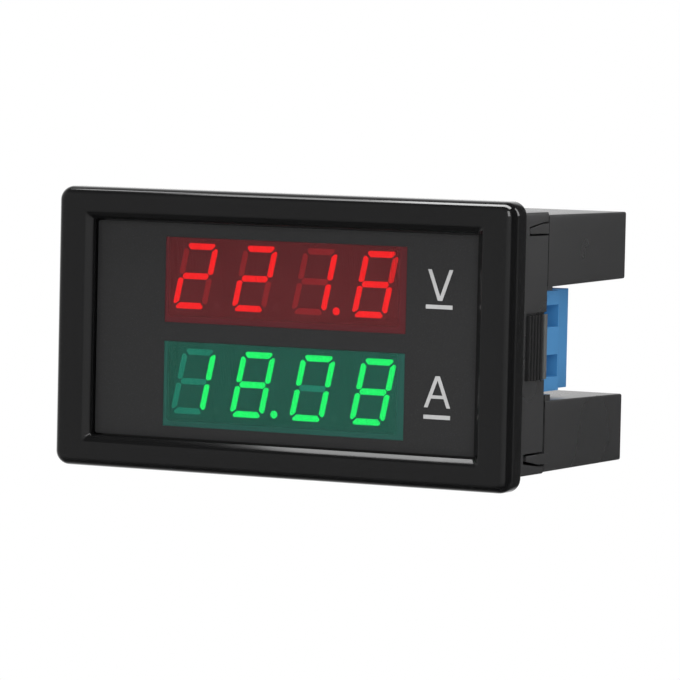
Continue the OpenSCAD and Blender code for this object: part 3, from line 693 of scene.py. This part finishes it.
def makeFloorPlate():
    # The bay's floor, with a notch on each side where the terminal blocks pass
    half = coverWide / 2 - cover["floorIn"]
    top = cover["bayTop"] + cover["floor"] / 2
    bottom = -cover["bayBottom"] - cover["floor"] / 2
    gap = cover["blockGap"]
    inX = blockLow[0] - gap
    high, low = blockHigh[2] + gap, blockLow[2] - gap
    outline = [(-half, bottom), (half, bottom), (half, low), (inX, low), (inX, high), (half, high)]
    outline += [(half, top), (-half, top), (-half, high), (-inX, high), (-inX, low), (-half, low)]
    rear = seamY + cover["floor"]
    floorPlate = prismPiece("coverFloor", outline, seamY, rear, fromFront, housingSatin, "meter")
    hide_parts("rear_cover")


def makeTabs():
    # Wedges that lock the cover into the housing; a lower one runs on into the module's side
    full = frameHigh[1]
    for level, zSign in (("upper", 1), ("lower", -1)):
        tab = tabs[level]
        top = tab["top"]
        low, tip = top - tab["root"], full - tab["len"]
        rear = seamY + (0.0 if zSign > 0 else cover["tabRun"])
        outline = [(rear, low), (full, low), (tip, low + 0.05), (tip, low + tab["tip"])]
        outline += [(full - tab["len"] * tabSlope, top), (rear, top)]
        side = [(y, z * zSign) for y, z in outline]
        for xSign in (1, -1):
            inner = housing["wide"] / 2 - housing["wall"] + 0.1
            outer = coverWide / 2 - (0.05 if zSign > 0 else -0.003)
            name = "tab" + ("Right" if xSign > 0 else "Left") + level.capitalize()
            start, end = xSign * inner, xSign * outer
            piece = prismPiece(name, side, start, end, fromSide, housingSatin, "meter", 0.06)
            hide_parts("rear_cover")


makeModule("moduleUpper", cover["bayTop"], cover["top"], 1)
makeModule("moduleLower", cover["bayBottom"], cover["bottom"], -1)
makeFloorPlate()
makeTabs()
print("cover made")


latch = {
    "teeth": 5,
    "pitch": 1.04,
    "groove": 0.42,       # part of each pitch that is groove
    "grooveDeep": 0.38,
    "rampDrop": 0.3,
    "trim": 0.25,         # the tongue's top stands this much below the window's
    "first": 0.1,         # plain strip before the first tooth, and again before the ramp
    "chamfer": 0.04,      # how much a tooth's edges are broken
    "rampDeep": 0.6,      # how far the ramp's face, light grey with painted reflection, reaches in
    "rampIn": 0.02,       # how far that face stands in from the tongue's edges
    "stopIn": 0.85,       # the dark wall put behind the gap above the tongue as painted shade: its outer and inner face
    "stopDeep": 1.9,
    "stopGap": 0.03,
    "stopOver": 0.4,      # how far it reaches past the window's top
}


def makeLatch(side, sign):
    # Tongue section along the depth: teeth and grooves in turn, then a ramp that falls away to the rear
    skin = latchHigh[0]
    start, rear = latchLow[1], latchHigh[1]
    valley, edge = skin - latch["grooveDeep"], skin - latch["chamfer"]
    outline = [(latchLow[0], start), (valley, start)]
    for k in range(latch["teeth"]):
        y = start + latch["first"] + k * latch["pitch"]
        land = latch["pitch"] * (1 - latch["groove"])
        outline += [(edge, y), (skin, y + 0.06), (skin, y + land), (edge, y + land + 0.05)]
        outline += [(valley, y + land + 0.1), (valley, y + latch["pitch"] - 0.06)]
    ramp = start + latch["first"] + latch["teeth"] * latch["pitch"] + latch["first"]
    outline += [(valley, ramp), (skin - latch["rampDrop"] - 0.2, rear), (latchLow[0], rear)]
    low, high = latchLow[2], latchHigh[2] - latch["trim"]

    def place(u, v, height):
        return np.stack([sign * u, v, height], 1)

    tongue = prismPiece(side + "LatchTongue", outline, low, high, place, latchSatin, side + "_latch")
    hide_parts(side + "_latch")
    # The ramp's face lies on the tongue and moves with it; its light grey is a painted reflection of the
    # bright room behind
    deep, inset = skin - latch["rampDeep"], latch["rampIn"]
    slope = [(deep, ramp + 0.02), (skin - 0.03, ramp + 0.02), (skin - 0.02, ramp + 0.08)]
    slope += [(skin - latch["rampDrop"], rear - 0.01), (deep, rear - 0.01)]
    prismPiece(side + "LatchRamp", slope, low + inset, high - inset, place, rampPaintedLight, side + "_latch")
    # A dark wall put behind the gap above the tongue stands in for the shade inside the housing, and closes
    # the view through it
    outer, inner = skin - latch["stopIn"], skin - latch["stopDeep"]
    stop = [(inner, start), (outer, start), (outer, rear), (inner, rear)]
    bottom, top = high + latch["stopGap"], latchHigh[2] + latch["stopOver"]
    prismPiece(side + "WindowShadeWall", stop, bottom, top, place, housingSatin, "meter")


makeLatch("right", 1)
makeLatch("left", -1)
print("latches made")

letters = {
    "V": {"left": 24.5, "right": 28.72, "top": 11.24, "bottom": 6.54, "lineTop": 5.92},
    "A": {"left": 24.3, "right": 28.72, "top": -4.8, "bottom": -9.57, "lineTop": -10.68},
    "foot": 0.62,     # width of a stroke where it ends
    "tip": 0.74,      # width where the two strokes meet
    "bar": 0.5,
    "barZ": -8.2,
    "barIn": 0.25,    # the bar's ends stand this much inside the strokes' outer edges
    "barTaper": 0.1,
    "line": 0.62,
    "lineLeft": 24.25,
    "lift": 0.03,     # thickness of the print above the panel
}


def printWhite():
    material, tree, shader = newMaterial("printWhite")
    detail = useGrain(tree, 5000, 0.15)
    ink = mixColour(tree, detail.outputs["Cloud"], (0.43, 0.43, 0.43), (0.49, 0.49, 0.49))
    tree.links.new(ink, shader.inputs["Base Color"])
    tree.links.new(detail.outputs["Normal"], shader.inputs["Normal"])
    shader.inputs["Roughness"].default_value = 0.6
    return material


def makeLetters():
    # Two strokes of each letter run from the feet to the tip, with parallel sides; A also has a bar, and
    # each letter has a line below it
    ink = printWhite()
    front = panelLow[1]

    def cut(name, outline, lift):
        return prismPiece(name, outline, front - lift, front + 0.02, fromFront, ink, "meter")

    def strokes(letter, base, tip):
        left, right = letter["left"], letter["right"]
        middle, half = (left + right) / 2, letters["tip"] / 2
        foot = letters["foot"]
        share = (middle - left - foot) / (middle - left - half)
        notch = base + (tip - base) * share
        outline = [(left, base), (left + foot, base), (middle, notch), (right - foot, base), (right, base)]
        return outline + [(middle + half, tip), (middle - half, tip)]

    v, a = letters["V"], letters["A"]
    cut("letterV", strokes(v, v["top"], v["bottom"]), letters["lift"])
    cut("letterA", strokes(a, a["bottom"], a["top"]), letters["lift"])
    rise = (letters["barZ"] - a["bottom"]) / (a["top"] - a["bottom"])
    reach = (a["right"] - a["left"]) / 2 * (1 - rise) - letters["barIn"]
    middle = (a["left"] + a["right"]) / 2
    low, high = letters["barZ"], letters["barZ"] + letters["bar"]
    upper = reach - letters["barTaper"]
    bar = [(middle - reach, low), (middle + reach, low), (middle + upper, high), (middle - upper, high)]
    cut("letterBar", bar, letters["lift"] - 0.01)
    for name, letter in (("voltLine", v), ("ampLine", a)):
        left, right = letters["lineLeft"], letter["right"]
        top = letter["lineTop"]
        bottom = top - letters["line"]
        cut(name, [(left, bottom), (right, bottom), (right, top), (left, top)], letters["lift"])


makeLetters()
print("letters made")


studio = {
    "floorReach": 6.0,
    "fill": 0.35,          # even light from all round, for matt surfaces only
    "ceiling": 0.06,       # what glossy surfaces see overhead and underfoot
    "bandEnds": (0.4, 0.95),   # share of straight up at which the ring starts to fade, and is gone
    # What they see near the horizon, as degrees to the right of straight ahead and brightness: brightest
    # behind on the left, about half of that or less round the front, and dim or dark from right to rear
    "ring": [
        (-180, 0.03), (-173, 0.2), (-166, 0.5), (-152, 1.15), (-125, 1.15), (-95, 0.5),
        (-60, 0.38), (-15, 0.37), (3, 0.37), (14, 0.5), (58, 0.6), (67, 0.05),
        (128, 0.03), (138, 0.2), (146, 0.2), (153, 0.085), (180, 0.035),
    ],
}
# Each softbox: where it stands, what it faces (mm), its width and height (mm), and how bright its face is
softboxes = {
    "topBox": {
        "place": (45, -22, 300), "aim": (45, -22, 0), "size": (340, 125), "bright": 12.0,
    },
    "topBoxEndFront": {
        "place": (-150.5, -45, 300), "aim": (-150.5, -45, 0), "size": (49, 80), "bright": 5.6,
    },
    "topBoxCorner": {
        "place": (-196, 32, 300), "aim": (-196, 32, 0), "size": (42, 56), "bright": 5.0,
    },
    "topBoxEndRear": {
        "place": (-150.5, 20, 300), "aim": (-150.5, 20, 0), "size": (49, 50), "bright": 3.0,
    },
    "frontRightBox": {
        "place": (165, -165, 110), "aim": (39, 0, 110), "size": (90, 150), "bright": 5.0,
    },
    "rearRightBox": {
        "place": (165, 165, 110), "aim": (39, 0, 110), "size": (70, 150), "bright": 3.0,
    },
}


def makeFloor():
    # White to the camera, a pale matt surface to light that falls on it
    reach = studio["floorReach"]
    data = bpy.data.meshes.new("floor")
    z = cadLow[2] - 0.0001
    corners = [(-reach, -reach, z), (reach, -reach, z), (reach, reach, z), (-reach, reach, z)]
    data.from_pydata(corners, [], [(0, 1, 2, 3)])
    floor = bpy.data.objects.new("floor", data)
    bpy.context.scene.collection.objects.link(floor)
    material, tree, shader = newMaterial("paleFloor")
    shader.inputs["Base Color"].default_value = (0.8, 0.8, 0.8, 1)
    shader.inputs["Roughness"].default_value = 0.9
    glow = addNode(tree, "ShaderNodeEmission")
    mix = addNode(tree, "ShaderNodeMixShader")
    path = addNode(tree, "ShaderNodeLightPath")
    seen = math2(tree, "MAXIMUM", path.outputs["Is Camera Ray"], path.outputs["Is Transmission Ray"])
    tree.links.new(seen, mix.inputs["Fac"])
    tree.links.new(shader.outputs["BSDF"], mix.inputs[1])
    tree.links.new(glow.outputs["Emission"], mix.inputs[2])
    tree.links.new(mix.outputs["Shader"], tree.nodes["Material Output"].inputs["Surface"])
    data.materials.append(material)
    floor.visible_glossy = False


def makeWorld():
    world = bpy.data.worlds.new("studio")
    bpy.context.scene.world = world
    world.use_nodes = True
    tree = world.node_tree
    back = tree.nodes["Background"]
    path = addNode(tree, "ShaderNodeLightPath")
    split = addNode(tree, "ShaderNodeSeparateXYZ")
    tree.links.new(addNode(tree, "ShaderNodeTexCoord").outputs["Generated"], split.inputs[0])
    # Glossy rays see a ring of light and dark round the horizon, which gives way to the ceiling and floor
    around = math2(tree, "ARCTAN2", split.outputs["X"], math2(tree, "MULTIPLY", split.outputs["Y"], -1.0))
    ramp = addNode(tree, "ShaderNodeValToRGB")
    stops = ramp.color_ramp.elements
    brightest = max(level for angle, level in studio["ring"])
    # A new ramp has a stop at each end, and the rest are added between them in order
    ends = {0: 0, len(studio["ring"]) - 1: -1}
    for k, (angle, level) in enumerate(studio["ring"]):
        stop = stops[ends[k]] if k in ends else stops.new(0.5 + angle / 360)
        shade = level / brightest
        stop.color = (shade, shade, shade, 1)
    tree.links.new(remap(tree, around, -math.pi, math.pi, 0.0, 1.0), ramp.inputs["Fac"])
    ring = math2(tree, "MULTIPLY", ramp.outputs["Color"], brightest)
    height = math2(tree, "ABSOLUTE", split.outputs["Z"])
    near = remap(tree, height, *studio["bandEnds"], 1.0, 0.0)
    room = math2(tree, "MAXIMUM", math2(tree, "MULTIPLY", ring, near), studio["ceiling"])
    seen = math2(tree, "MAXIMUM", path.outputs["Is Camera Ray"], path.outputs["Is Transmission Ray"])
    glossy = math2(tree, "MULTIPLY", path.outputs["Is Glossy Ray"], room)
    known = math2(tree, "MAXIMUM", seen, path.outputs["Is Glossy Ray"])
    other = math2(tree, "SUBTRACT", 1.0, known, clamp=True)
    fill = math2(tree, "MULTIPLY", other, studio["fill"])
    total = math2(tree, "ADD", math2(tree, "ADD", seen, glossy), fill)
    tree.links.new(total, back.inputs["Strength"])
    back.inputs["Color"].default_value = (1, 1, 1, 1)


def makeSoftbox(name, box):
    # Power of a square lamp = face brightness x area x pi
    lamp = bpy.data.lights.new(name, "AREA")
    lamp.shape = "RECTANGLE"
    lamp.size, lamp.size_y = (side * mm for side in box["size"])
    lamp.energy = box["bright"] * lamp.size * lamp.size_y * math.pi
    holder = bpy.data.objects.new(name, lamp)
    bpy.context.scene.collection.objects.link(holder)
    place, aim = Vector(box["place"]), Vector(box["aim"])
    holder.location = place * mm
    holder.rotation_euler = (aim - place).to_track_quat("-Z", "Y").to_euler()
    holder.visible_camera = False


makeFloor()
makeWorld()
for name, box in softboxes.items():
    makeSoftbox(name, box)
bpy.context.scene.view_settings.view_transform = "Standard"
print("studio lit")
